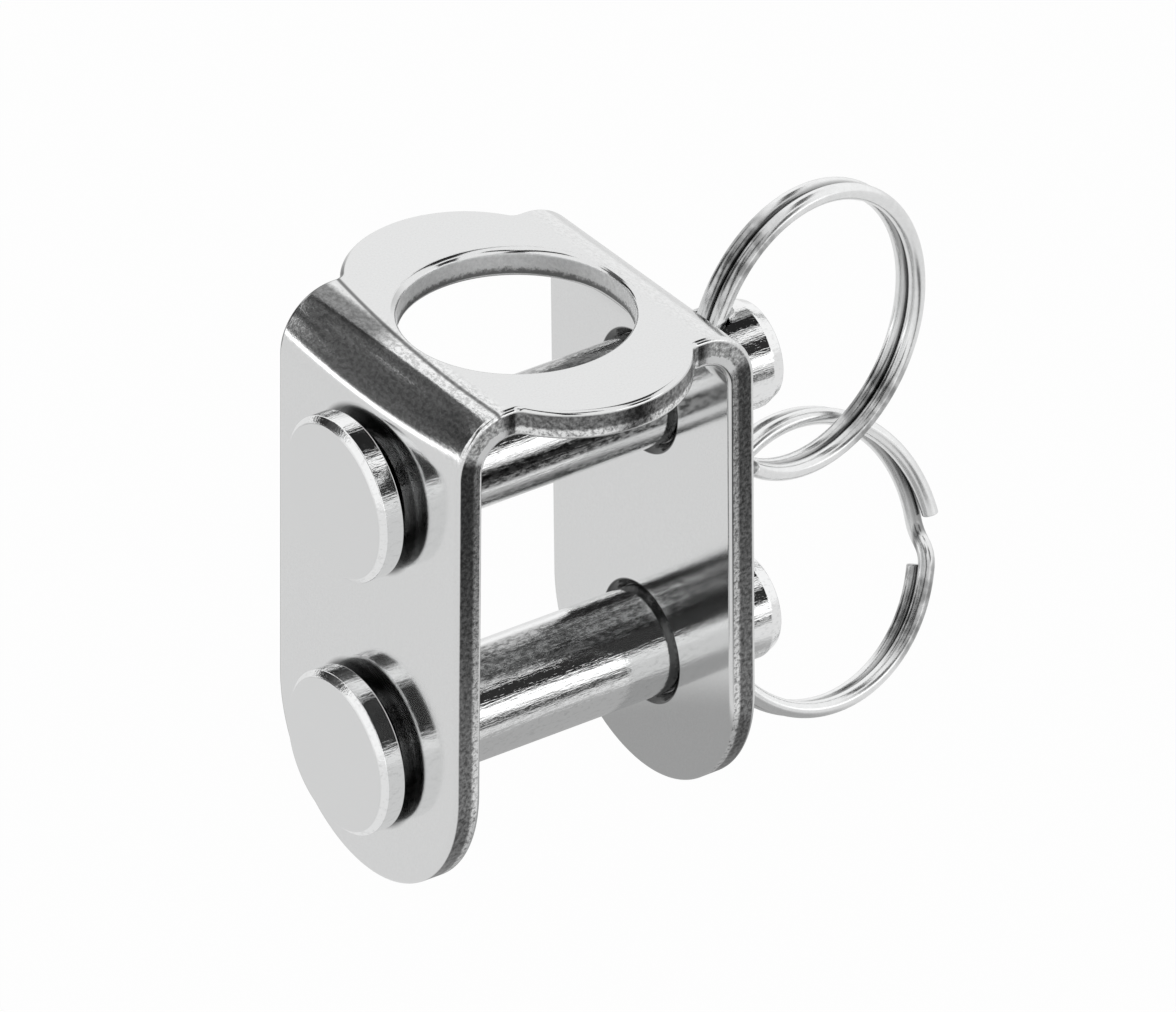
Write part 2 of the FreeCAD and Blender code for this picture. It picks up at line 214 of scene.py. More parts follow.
def makeFloor(s):
    mesh = bpy.data.meshes.new("studioFloor")
    half = s["floorSize"] / 2
    z = s["floorLevel"] * mm
    corners = [(-half, -half, z), (half, -half, z), (half, half, z), (-half, half, z)]
    mesh.from_pydata(corners, [], [(0, 1, 2, 3)])
    floor = addObject("studioFloor", mesh)
    material = bpy.data.materials.new("paleFloor")
    m = Maker(material)
    camera, glossy, through = m.rays()
    x, y, _ = m.split(m.place())
    bright = s["floorInMetal"]
    for shade in s["shades"]:
        turn = math.radians(shade["turn"])
        cos, sin = math.cos(turn), math.sin(turn)
        offX, offY = x - shade["middle"][0], y - shade["middle"][1]
        far = (((offX * cos + offY * sin) / shade["size"][0]) ** 2 +
               ((offY * cos - offX * sin) / shade["size"][1]) ** 2).root()
        bright = bright * (1 - shade["depth"] * (1 - far.rise(*s["shadeSoft"])))
    share = camera.most(through) * (1.0 - s["shadowShare"]) + glossy * (1.0 - s["shadowInMetal"])
    lit = m.node("BsdfDiffuse", Color=grey(s["floorColour"]))
    shining = m.node("Emission", Color=m.mix(1 - glossy * (1 - bright), grey(0.0), grey(1.0)), Strength=1.0)
    m.finish(m.node("MixShader", in0=share.least(1.0), in1=lit, in2=shining))
    mesh.materials.append(material)


# a curved flag with soft edges along a path over the studio's dome, which only reflections see
def makeFlag(s, name, path, halfWidth, shade):
    def onDome(az, el):
        az, el = math.radians(az), math.radians(el)
        return Vector((math.cos(el) * math.sin(az), math.cos(el) * math.cos(az), math.sin(el)))

    steps, columns = s["flagSteps"], s["flagColumns"]
    spots = []
    for one, two in zip(path, path[1:]):
        spots += [onDome(*one).slerp(onDome(*two), k / steps) for k in range(steps)]
    spots.append(onDome(*path[-1]))
    width = math.tan(math.radians(halfWidth))
    points, faces, edges = [], [], []
    for k, spot in enumerate(spots):
        along = spots[min(k + 1, len(spots) - 1)] - spots[max(k - 1, 0)]
        aside = spot.cross(along).normalized() * width
        for j in range(columns + 1):
            points.append((spot + aside * (2 * j / columns - 1)).normalized() * s["flagDistance"])
            edges.append((k / (len(spots) - 1), j / columns, 0))
    row = columns + 1
    for k in range(len(spots) - 1):
        for first in range(k * row, k * row + columns):
            faces.append((first, first + row, first + row + 1, first + 1))
    mesh = bpy.data.meshes.new(name)
    mesh.from_pydata(points, [], faces)
    carry(mesh, "edges", edges)
    flag = addObject(name, mesh)
    flag.visible_camera = flag.visible_diffuse = flag.visible_shadow = flag.visible_transmission = False
    material = bpy.data.materials.new(name)
    m = Maker(material)
    u, v, _ = m.marks("edges")
    ends, sides = s["softEnds"], s["softSides"]
    soft = u.rise(0.0, ends) * (1 - u).rise(0.0, ends) * v.rise(0.0, sides) * (1 - v).rise(0.0, sides)
    m.finish(m.node("MixShader", in0=soft, in1=m.node("BsdfTransparent"),
                    in2=m.node("Emission", Color=grey(shade), Strength=1.0)))
    mesh.materials.append(material)


def makeLamp(s, name, place, size, strength, mirrored):
    data = bpy.data.lights.new(name, "AREA")
    data.shape = "RECTANGLE"
    data.size, data.size_y = size
    data.energy = strength * math.pi * size[0] * size[1]  # a strength of 1 shines like the white world
    lamp = addObject(name, data)
    lamp.location = Vector(place)
    lamp.rotation_euler = (Vector(place) - Vector(s["lampAim"])).to_track_quat("Z", "Y").to_euler()
    lamp.visible_camera = False
    lamp.visible_glossy = mirrored


makeCamera(cameraSet)
makeWorld(studio)
makeFloor(studio)
for flag in studio["flags"]:
    makeFlag(studio, *flag)
for lamp in studio["lamps"]:
    makeLamp(studio, *lamp)
print("studio ready")


# a piece from points in mm, with the normal of each point
def makePiece(name, points, faces, normals, material, body, node, layout):
    mesh = bpy.data.meshes.new(name)
    mesh.from_pydata([Vector(p) * mm for p in points], [], faces)
    mesh.polygons.foreach_set("use_smooth", [True] * len(mesh.polygons))
    mesh.normals_split_custom_set_from_vertices([tuple(n) for n in normals])
    carry(mesh, "layout", layout)
    mesh.materials.append(material)
    piece = addObject(name, mesh)
    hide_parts(node)
    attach(piece, body)


# folded strip, in mm: it is laid out flat, then bent. A station is how far along the strip a point is.
strip = {"thickness": 2.2, "halfGap": 10.3, "splay": 0.66, "halfWidth": 10.8, "bendRadius": 2.2,
         "legEnd": -28.875, "edgeOuter": 0.36, "edgeInner": 0.28, "earReach": 14.844, "earRoot": 7.3,
         "notch": 0.8, "bore": 8.25, "boreTop": 0.5, "boreUnder": 0.3, "holes": (-8.9, -29.4),
         "holeRadius": 4.075, "holeChamfer": 0.5,
         # a chamfer's broken corners: how far they reach past it, and into it at its top and its bottom
         "chamferCorners": (0.06, 0.04, 0.05),
         # the forming of the bore left the left bend hollow in its middle: depth, and where round the
         # bend it starts, is deepest and ends (degrees)
         "hollow": {"depth": 0.48, "from": 24, "deepest": 42, "to": 98},
         # how finely the outline, the holes, the edges and the faces are divided
         "outlineStep": 0.25, "notchStep": 0.08, "boreStep": 0.22, "holeStep": 0.2,
         "edgeRows": 6, "boreRows": 8, "bendSteps": 36, "legSteps": 34,
         "webColumns": 9, "legColumns": 42, "rows": 18, "rowsReach": 1.5, "rimGap": 0.2}


def smooth(value, low, high):
    t = min(max((value - low) / (high - low), 0), 1)
    return t * t * (3 - 2 * t)


class Fold:
    def __init__(self, s):
        self.s = s
        splay = math.radians(s["splay"])
        self.top = s["thickness"] / 2
        self.outer = s["bendRadius"] + s["thickness"]
        self.flat = s["halfGap"] - s["bendRadius"] / math.cos(splay)  # the web is flat up to this station
        self.full = math.pi / 2 - splay
        self.legFrom = self.flat + self.outer * self.full
        self.legTop = self.top - self.outer + self.outer * math.cos(self.full)

    def station(self, height):
        return self.legFrom + (self.legTop - height) / math.sin(self.full)

    def hollow(self, station, y):
        h = self.s["hollow"]
        if station > 0 or abs(y) >= self.s["halfWidth"]:
            return 0.0
        at = math.degrees((abs(station) - self.flat) / self.outer)
        return h["depth"] * (1 - (y / self.s["halfWidth"]) ** 2) * (
            smooth(at, h["from"], h["deepest"]) - smooth(at, h["deepest"], h["to"]))

    # how steeply the hollow deepens along the strip and across it
    def hollowSlope(self, station, y, step=0.02):
        return [(self.hollow(station + a, y + b) - self.hollow(station - a, y - b)) / step / 2
                for a, b in ((step, 0), (0, step))]

    # the point at a station, y and depth below the outer face, and its normal, after folding
    def point(self, station, y, depth, normal):
        side = -1 if station < 0 else 1
        far = abs(station)
        hollowed = max(1 - 2 * depth / self.s["thickness"], 0)  # the hollow fades out inside the sheet
        if hollowed and side < 0:
            lean = [normal[2] * hollowed * slope for slope in self.hollowSlope(station, y)]
            normal = (normal[0] + lean[0], normal[1] + lean[1], normal[2])
            depth += hollowed * self.hollow(station, y)
        flat = min(far, self.flat)
        turn = min((far - flat) / self.outer, self.full)
        run = far - flat - self.outer * turn
        across = flat + (self.outer - depth) * math.sin(turn) + run * math.cos(turn)
        height = self.top - self.outer + (self.outer - depth) * math.cos(turn) - run * math.sin(turn)
        along, aside, out = normal[0] * side, normal[1], normal[2]
        folded = (side * (along * math.cos(turn) + out * math.sin(turn)), aside,
                  out * math.cos(turn) - along * math.sin(turn))
        return (side * across, y, height), folded


# rows (x, y, normal x, normal y) of an arc from one angle to another
def arc(centre, radius, start, end, step, inward=False):
    count = max(3, int(abs(math.radians(end - start)) * radius / step))
    row = []
    for k in range(count + 1):
        a = math.radians(start + (end - start) * k / count)
        way = (math.cos(a), math.sin(a))
        row.append((centre[0] + radius * way[0], centre[1] + radius * way[1],
                    *(tuple(-w for w in way) if inward else way)))
    return row


# rows (inset, depth, sideways part of the normal, upward part) of an edge with both sides rounded
def roundedEdge(top, under, thickness, steps):
    rows = [(top * (1 - math.sin(a)), top * (1 - math.cos(a)), math.sin(a), math.cos(a))
            for a in (math.pi / 2 * k / steps for k in range(steps + 1))]
    rows += [(under * (1 - math.sin(a)), thickness - under * (1 - math.cos(a)), math.sin(a), -math.cos(a))
             for a in (math.pi / 2 * (1 - k / steps) for k in range(steps + 1))]
    return rows


# the same for an edge with both sides chamfered and the chamfers' corners broken
def chamferedEdge(size, thickness, past, atTop, atBottom):
    half = math.sqrt(0.5)
    upper = [(size + past, 0, 0, 1), (size - atTop, atTop, half, half),
             (atBottom, size - atBottom, half, half), (0, size + past, 1, 0)]
    return upper + [(inset, thickness - depth, side, -up) for inset, depth, side, up in reversed(upper)]


def makeStrip(s, material):
    fold = Fold(s)
    end = fold.station(s["legEnd"])
    wide = s["halfWidth"]
    rise = s["earReach"] - wide
    earRadius = (s["earRoot"] ** 2 + rise ** 2) / (2 * rise)
    earCentre = s["earReach"] - earRadius
    notchX = math.sqrt((earRadius + s["notch"]) ** 2 - (wide + s["notch"] - earCentre) ** 2)
    meet = math.degrees(math.atan2(wide + s["notch"] - earCentre, notchX))

    # a quarter of the outline, from the middle of the right leg's end to the middle of the back ear
    bend = fold.outer * fold.full
    bendStations = [fold.flat + bend * k / s["bendSteps"] for k in range(s["bendSteps"] + 1)]
    legStations = [end + (fold.legFrom - end) * k / s["legSteps"] for k in range(s["legSteps"])]
    quarter = arc((end, 0), wide, 0, 90, s["outlineStep"])[:-1]
    for station in legStations + bendStations[::-1]:
        if station > notchX + 0.02:  # up to the notch
            quarter.append((station, wide, 0, 1))
    quarter += arc((notchX, wide + s["notch"]), s["notch"], -90, -180 + meet, s["notchStep"], inward=True)
    quarter += arc((0, earCentre), earRadius, meet, 90, s["outlineStep"])[1:]
    outline = quarter + [(-x, y, -nx, ny) for x, y, nx, ny in reversed(quarter[:-1])]
    outline += [(-x, -y, -nx, -ny) for x, y, nx, ny in quarter[1:]]
    outline += [(x, -y, nx, -ny) for x, y, nx, ny in reversed(quarter[1:-1])]

    # each loop on the flat strip with the rows of its edge
    loops = [(outline, roundedEdge(s["edgeOuter"], s["edgeInner"], s["thickness"], s["edgeRows"])),
             (arc((0, 0), s["bore"], 360, 0, s["boreStep"], inward=True)[:-1],
              roundedEdge(s["boreTop"], s["boreUnder"], s["thickness"], s["boreRows"]))]
    chamfered = chamferedEdge(s["holeChamfer"], s["thickness"], *s["chamferCorners"])
    for height in s["holes"]:
        for way in (1, -1):
            middle = (way * fold.station(height), 0)
            loops.append((arc(middle, s["holeRadius"], 360, 0, s["holeStep"], inward=True)[:-1], chamfered))

    points, normals, faces, layout = [], [], [], []
    outerRims, innerRims = [], []

    def add(station, y, depth, normal):
        point, folded = fold.point(station, y, depth, normal)
        points.append(point)
        normals.append(folded)
        layout.append((station, y, depth))
        return len(points) - 1

    for loop, rows in loops:
        rings = []
        for inset, depth, sideways, up in rows:
            rings.append([(add(x - nx * inset, y - ny * inset, depth, (nx * sideways, ny * sideways, up)),
                           (x - nx * inset, y - ny * inset)) for x, y, nx, ny in loop])
        for upper, lower in zip(rings, rings[1:]):
            for k in range(len(loop)):
                n = (k + 1) % len(loop)
                faces.append((upper[k][0], lower[k][0], lower[n][0], upper[n][0]))
        outerRims.append(rings[0])
        innerRims.append(rings[-1])

    # whether a place on the flat strip is on its face and at least a gap from every rim
    def clear(x, y, gap):
        if math.hypot(x, y) < s["bore"] + s["boreTop"] + gap:
            return False
        holeRim = s["holeRadius"] + s["holeChamfer"] + gap + s["chamferCorners"][0]
        if any(math.hypot(abs(x) - fold.station(height), y) < holeRim for height in s["holes"]):
            return False
        beyond = max(abs(x) - end, 0)
        inStrip = math.hypot(beyond, y) < wide - s["edgeOuter"] - gap
        inEar = abs(x) < s["earRoot"] and math.hypot(x, abs(y) - earCentre) < earRadius - s["edgeOuter"] - gap
        return inStrip or inEar

    # a grid of points over each face, joined into triangles between the rims
    web = [fold.flat * k / s["webColumns"] for k in range(1, s["webColumns"])]
    legReach = end + wide - fold.legFrom
    leg = [fold.legFrom + legReach * k / s["legColumns"] for k in range(1, s["legColumns"])]
    columns = sorted({0.0, *bendStations, *web, *leg})
    across = [wide * s["rowsReach"] * k / s["rows"] for k in range(-s["rows"], s["rows"] + 1)]
    for rims, depth, up in ((outerRims, 0, 1), (innerRims, s["thickness"], -1)):
        flatPoints, owners, edges = [], [], []
        for rim in rims:
            first = len(flatPoints)
            for index, (x, y) in rim:
                flatPoints.append(Vector((x, y)))
                owners.append(index)
            edges += [(first + k, first + (k + 1) % len(rim)) for k in range(len(rim))]
        for column in columns:
            for way in ((1, -1) if column else (1,)):
                for y in across:
                    if clear(column * way, y, s["rimGap"]):
                        flatPoints.append(Vector((column * way, y)))
                        owners.append(add(column * way, y, depth, (0, 0, up)))
        _, _, triangles, came, _, _ = delaunay_2d_cdt(flatPoints, edges, [], 0, 1e-5)
        for triangle in triangles:
            corner = [came[v][0] for v in triangle if came[v]]
            if len(corner) < 3:
                continue
            middle = sum((flatPoints[c] for c in corner), Vector((0, 0))) / 3
            if clear(middle.x, middle.y, -0.03):  # a triangle along a curved rim may reach a little past it
                face = [owners[c] for c in corner]
                faces.append(face if up > 0 else face[::-1])
    makePiece("foldedStrip", points, faces, normals, material, "bracket", "u_bracket", layout)


# clevis pin, in mm: a turned profile, x from under the head, with its cross hole cut through
pin = {"head": 1.9, "headRadius": 6.05, "bevel": 0.45, "headRound": 0.12, "headBackRound": 0.15,
       "neckRound": 0.02, "radius": 4.0, "length": 33.752, "taper": 1.0, "taperDepth": 0.4, "taperRound": 0.8,
       "tailRound": 0.3, "holeAt": 29.652, "holeRadius": 1.7, "flareFrom": 3.5, "drillReach": 5.0,
       "rowGap": 0.9, "segments": 144, "holeSegments": 72}
# where each pin sits, and bands round it painted darker as painted reflection: from, to (degrees), softness,
# depth
pinPlaces = {"upper": {"x": -13.5647, "z": -8.9, "turn": -2.5,
                       "paintedDark": [(-9, 13, 3, 0.74), (-34, -21, 3, 0.45), (60, 118, 6, 0.5)]},
             "lower": {"x": -13.6008, "z": -29.4, "turn": -18.6, "paintedDark": [(48, 98, 5, 0.6)]}}


# rows (x, r, normal x, normal r) through corners (x, r, rounding) of a turned profile
def turnedProfile(corners, steps=5):
    spots = [Vector(c[:2]) for c in corners]
    ways = [(b - a).normalized() for a, b in zip(spots, spots[1:])]
    facing = [math.atan2(way.x, -way.y) for way in ways]  # outwards is left of the way on
    rows = [(*spots[0], math.cos(facing[0]), math.sin(facing[0]))]
    for k in range(1, len(corners) - 1):
        rounding = corners[k][2]
        cross = ways[k - 1].cross(ways[k])
        bend = math.atan2(abs(cross), ways[k - 1].dot(ways[k]))
        sign = 1 if cross < 0 else -1
        before = Vector((math.cos(facing[k - 1]), math.sin(facing[k - 1])))
        centre = spots[k] - ways[k - 1] * rounding * math.tan(bend / 2) - before * rounding * sign
        for j in range(steps + 1):
            a = facing[k - 1] - sign * bend * j / steps
            out = Vector((math.cos(a), math.sin(a)))
            rows.append((*(centre + out * rounding * sign), *out))
    rows.append((*spots[-1], math.cos(facing[-1]), math.sin(facing[-1])))
    return rows


# a profile with more rows where it runs straight for long
def closeRows(rows, gap):
    full = [rows[0]]
    for a, b in zip(rows, rows[1:]):
        count = max(1, math.ceil(math.dist(a[:2], b[:2]) / gap))
        full += [tuple(p + (q - p) * k / count for p, q in zip(a, b)) for k in range(1, count + 1)]
    return full


# points, faces and normals of a profile turned about X
def turned(rows, segments):
    points, normals, faces, rings = [], [], [], []
    for x, r, nx, nr in rows:
        count = 1 if r < 1e-6 else segments
        rings.append([len(points) + k for k in range(count)])
        for k in range(count):
            a = 2 * math.pi * k / segments
            points.append((x, r * math.cos(a), r * math.sin(a)))
            normals.append((nx, nr * math.cos(a), nr * math.sin(a)))
    for one, two in zip(rings, rings[1:]):
        for k in range(segments):
            n = (k + 1) % segments
            corners = [one[k % len(one)], one[n % len(one)], two[n % len(two)], two[k % len(two)]]
            faces.append(tuple(dict.fromkeys(corners)))
    return points, faces, normals


# a bare solid for the cutting of the cross hole
def plainSolid(name, points, faces):
    mesh = bpy.data.meshes.new(name)
    mesh.from_pydata(points, [], faces)
    solid = addObject(name, mesh)
    bm = bmesh.new()
    bm.from_mesh(mesh)
    bmesh.ops.recalc_face_normals(bm, faces=bm.faces)
    bm.to_mesh(mesh)
    bm.free()
    return solid


def pinMatrix(place):
    turn = Matrix.Rotation(math.radians(place["turn"]), 4, "X")
    return Matrix.Translation((place["x"], 0, place["z"])) @ turn


def makePin(name, p, place, material):
    radius, length, hole = p["radius"], p["length"], p["holeRadius"]
    rows = turnedProfile([(-p["head"], 0, 0), (-p["head"], p["headRadius"] - p["bevel"], p["headRound"]),
                          (p["bevel"] - p["head"], p["headRadius"], p["headRound"]),
                          (0, p["headRadius"], p["headBackRound"]), (0, radius, p["neckRound"]),
                          (length - p["taper"], radius, p["taperRound"]),
                          (length, radius - p["taperDepth"], p["tailRound"]), (length, 0, 0)])
    points, faces, normals = turned(closeRows(rows, p["rowGap"]), p["segments"])
    blank = plainSolid("pinBlank", points, faces)

    # the cross hole, cut by a turned drill that flares at both mouths
    reach, flare = p["drillReach"], p["flareFrom"]
    drillRows = [(-reach, 0, 0, 0), (-reach, hole + reach - flare, 0, 0), (-flare, hole, 0, 0),
                 (flare, hole, 0, 0), (reach, hole + reach - flare, 0, 0), (reach, 0, 0, 0)]
    drillPoints, drillFaces, _ = turned(drillRows, p["holeSegments"])
    drill = plainSolid("pinDrill", [(p["holeAt"] + z, y, x) for x, y, z in drillPoints],
                       [face[::-1] for face in drillFaces])
    cut = blank.modifiers.new("crossHole", "BOOLEAN")
    cut.operation = "DIFFERENCE"
    cut.solver = "EXACT"
    cut.object = drill
    mesh = bpy.data.meshes.new_from_object(blank.evaluated_get(bpy.context.evaluated_depsgraph_get()))
    for solid in (blank, drill):
        bpy.data.objects.remove(solid)

    # the turned faces keep their own normals, and those of the hole point to its middle line
    known = {tuple(round(c, 3) for c in point): normal for point, normal in zip(points, normals)}
    cornerNormals = []
    for polygon in mesh.polygons:
        middle = polygon.center
        inHole = (math.hypot(middle.x - p["holeAt"], middle.y) < hole + 0.8 and
                  math.hypot(middle.y, middle.z) < radius - 0.01)
        for index in polygon.vertices:
            spot = mesh.vertices[index].co
            if inHole:
                out = Vector((p["holeAt"] - spot.x, -spot.y, 0)).normalized()
                if abs(middle.z) > flare:
                    out = (out + Vector((0, 0, math.copysign(1, middle.z)))).normalized()
            else:
                out = known.get(tuple(round(c, 3) for c in spot))
                out = Vector(out) if out else Vector((0, spot.y, spot.z)).normalized()
            cornerNormals.append(tuple(out))
    mesh.polygons.foreach_set("use_smooth", [True] * len(mesh.polygons))
    mesh.normals_split_custom_set(cornerNormals)
    mesh.transform(Matrix.Diagonal((mm, mm, mm, 1)) @ pinMatrix(place))
    mesh.materials.clear()
    mesh.materials.append(material)
    piece = addObject(name + "ClevisPin", mesh)
    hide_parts(name + "_pin")
    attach(piece, name + "_pin")


# split ring, in mm: one wire through two turns, with a crossing (degrees) beside its cut ends
ring = {"wire": 0.6, "radius": 10.4, "gap": 0.05, "crossing": 18.0, "openedRadius": 11.6, "tipRound": 0.12,
        "sides": 28, "step": 2.5}
# how each ring lies, where its wire crosses over, how far round its front end is sprung open, and the
# stretches painted darker as painted dark reflection: from and to (degrees), depth
ringPlaces = {"upper": {"swing": 9.8, "tilt": 6.3, "crossingAt": 230.0, "opened": 0.0,
                        "paintedDark": [(116, 152, 0.5), (-66, -30, 0.5)]},
              "lower": {"swing": 6.4, "tilt": -4.5, "crossingAt": -15.0, "opened": 65.0,
                        "paintedDark": [(118, 165, 0.4), (-62, -22, 0.5)]}}


# points and directions along a bend that leaves start along one way and bends towards another
def wireBend(r, start, along, towards, radius, angle):
    count = max(4, math.ceil(math.degrees(angle) * radius / r["radius"] / r["step"]))
    row = []
    for k in range(count + 1):
        a = angle * k / count
        row.append((start + towards * radius * (1 - math.cos(a)) + along * radius * math.sin(a),
                    along * math.cos(a) + towards * math.sin(a)))
    return row


def wirePath(r, place):
    radius, offset = r["radius"], r["wire"] + r["gap"] / 2
    half, at = math.radians(r["crossing"] / 2), math.radians(place["crossingAt"])
    opened = math.radians(place["opened"])

    def outward(a): return Vector((math.cos(a), math.sin(a), 0))
    def onward(a): return Vector((-math.sin(a), math.cos(a), 0))
    def onRing(a, height): return outward(a) * radius + Vector((0, 0, height))
    def squareTo(way, chord): return (chord - way * chord.dot(way)).normalized()

    reach = (math.hypot(radius, offset) - radius * math.cos(half)) / math.sin(half)
    front, back = onRing(at - half, offset), onRing(at + half, -offset)
    joint = outward(at) * math.hypot(radius, offset)
    slope = (joint - front - onward(at - half) * reach).normalized()
    bend = onward(at - half).angle(slope)
    begin = at + half + opened
    full = 2 * math.pi - 2 * half
    path = []
    if opened:
        path += [(spot, -way) for spot, way in reversed(wireBend(
            r, onRing(begin, offset), -onward(begin), -outward(begin), r["openedRadius"],
            opened * radius / r["openedRadius"]))]
    runs = [wireBend(r, onRing(begin, offset), onward(begin), -outward(begin), radius, full - opened),
            wireBend(r, front, onward(at - half), squareTo(onward(at - half), joint - front),
                     reach / math.tan(bend / 2), bend),
            wireBend(r, joint, slope, squareTo(slope, back - joint), reach / math.tan(bend / 2), bend),
            wireBend(r, back, onward(at + half), -outward(at + half), radius, full)]
    for run in runs:
        path += run[1:] if path else run
    return path


def makeRing(name, r, place, material):
    path = wirePath(r, place)
    points, normals, faces, rings, layout = [], [], [], [], []
    side = Vector((0, 0, 1))

    def addRing(spot, way, radius, lean):
        across = way.cross(side).normalized()
        up = across.cross(way)
        rings.append(len(points))
        for k in range(r["sides"]):
            a = 2 * math.pi * k / r["sides"]
            out = across * math.cos(a) + up * math.sin(a)
            points.append(spot + out * radius)
            layout.append(tuple(points[-1]))
            normals.append((out * math.cos(lean) + way * math.sin(lean)).normalized())

    # cut ends are a little rounded
    def endRows(spot, way, sign, steps=4):
        tip = r["tipRound"]
        rows = [(spot, 0.0, sign * math.pi / 2)]
        for k in range(steps + 1):
            a = math.pi / 2 * k / steps
            rows.append((spot - way * sign * tip * (1 - math.cos(a)), r["wire"] - tip * (1 - math.sin(a)),
                         sign * (math.pi / 2 - a)))
        return rows

    for spot, radius, lean in endRows(*path[0], -1):
        addRing(spot, path[0][1], radius, lean)
    for spot, way in path[1:-1]:
        addRing(spot, way, r["wire"], 0)
    for spot, radius, lean in reversed(endRows(*path[-1], 1)):
        addRing(spot, path[-1][1], radius, lean)
    for one, two in zip(rings, rings[1:]):
        for k in range(r["sides"]):
            n = (k + 1) % r["sides"]
            faces.append((one + k, two + k, two + n, one + n))

    bulge = r["radius"] - math.sqrt(r["radius"] ** 2 - pin["radius"] ** 2)
    turnedTo = (pinMatrix(pinPlaces[name]) @ Matrix.Translation((pin["holeAt"], 0, 0))
                @ Matrix.Rotation(math.radians(place["swing"]), 4, "Z")
                @ Matrix.Rotation(math.radians(place["tilt"]), 4, "Y")
                @ Matrix.Translation((r["radius"] - bulge / 2, 0, 0)) @ Matrix.Rotation(math.pi / 2, 4, "X"))
    points = [turnedTo @ point for point in points]
    normals = [turnedTo.to_3x3() @ normal for normal in normals]
    makePiece(name + "SplitRing", points, faces, normals, material, name + "_ring", name + "_ring",
              layout)


# strip finish: lightness and roughness from 0 to 1, sizes, depths and stations in mm, turns in degrees.
# A pair is where a change begins and ends, and a third number is how soft both ends are.
stripFinish = {"level": 0.77, "rough": 0.11, "lightest": 0.9, "darkest": 0.02,
               "fineSize": 0.16, "fineDepth": 0.0012, "fineShade": 0.10,
               "outerTo": (0.3, 0.5), "underFrom": (1.9, 2.1), "leftTo": (-1.0, 1.0),
               # the bends are crazed where the metal was drawn, on the left more than on the right
               "crazeTurn": (4, 68, 8), "crazeSize": 0.26, "crazeDepth": 0.010, "crazeContrast": (0.34, 0.66),
               "crazeShade": 0.15, "leftCrazeShade": 0.45,
               # painted dark reflection: a line along the crease above the left bend, and the bend's back
               # half
               "creaseAt": 8.83, "creaseLean": 0.0625, "creaseBow": 0.55, "creaseWidth": (0.04, 0.24),
               "creasePaintedShade": 0.75, "backHalfFrom": (0.5, 4.0), "backHalfTurn": (6, 27, 4), "backHalfPaintedShade": 0.7,
               # the dark back end of the left bend: where it is, its edge and its corner
               "backFrom": (4.0, 8.0), "backStations": (-7.5, -4.0), "backShade": 0.8,
               "cornerFrom": (0.002, 0.02), "cornerShade": 0.85,
               # sheared edges: marks and torn lower part, each as its darkest and what is added to that
               "wallFrom": (0.26, 0.40), "wallTo": (1.88, 1.98), "edgeLevel": 0.34, "edgeRough": 0.24,
               "markSize": 0.30, "markDepth": 0.014, "markContrast": (0.28, 0.72), "markShade": (0.35, 1.5),
               "tornFrom": (1.3, 1.6), "tornShade": (0.5, 1.5),
               # these edges are lighter and rougher round the bends
               "bendEdge": (8.6, 13.2, 0.7), "bendEdgeGain": 2.0, "bendEdgeRough": 0.62,
               # the bore's wall: it is torn where the marks and the depth, in these shares, reach far enough
               "boreEnds": (0.05, 0.25), "boreLevel": 0.62, "boreMarks": 0.42, "boreRough": 0.6,
               "boreTornShares": (0.6, 0.62), "boreTornFrom": (1.12, 1.36), "boreTornShade": 0.7,
               # painted shade: the web's underside, a ring in each pin hole's chamfer, and the leg's face
               # round the heads
               "underShadeLevel": 0.5, "underStations": (11.0, 16.0), "rimEnds": (0.02, 0.14), "rimPaintedShade": 0.86,
               "headShadeTo": (5.8, 6.4), "headShadeDepth": 0.82}


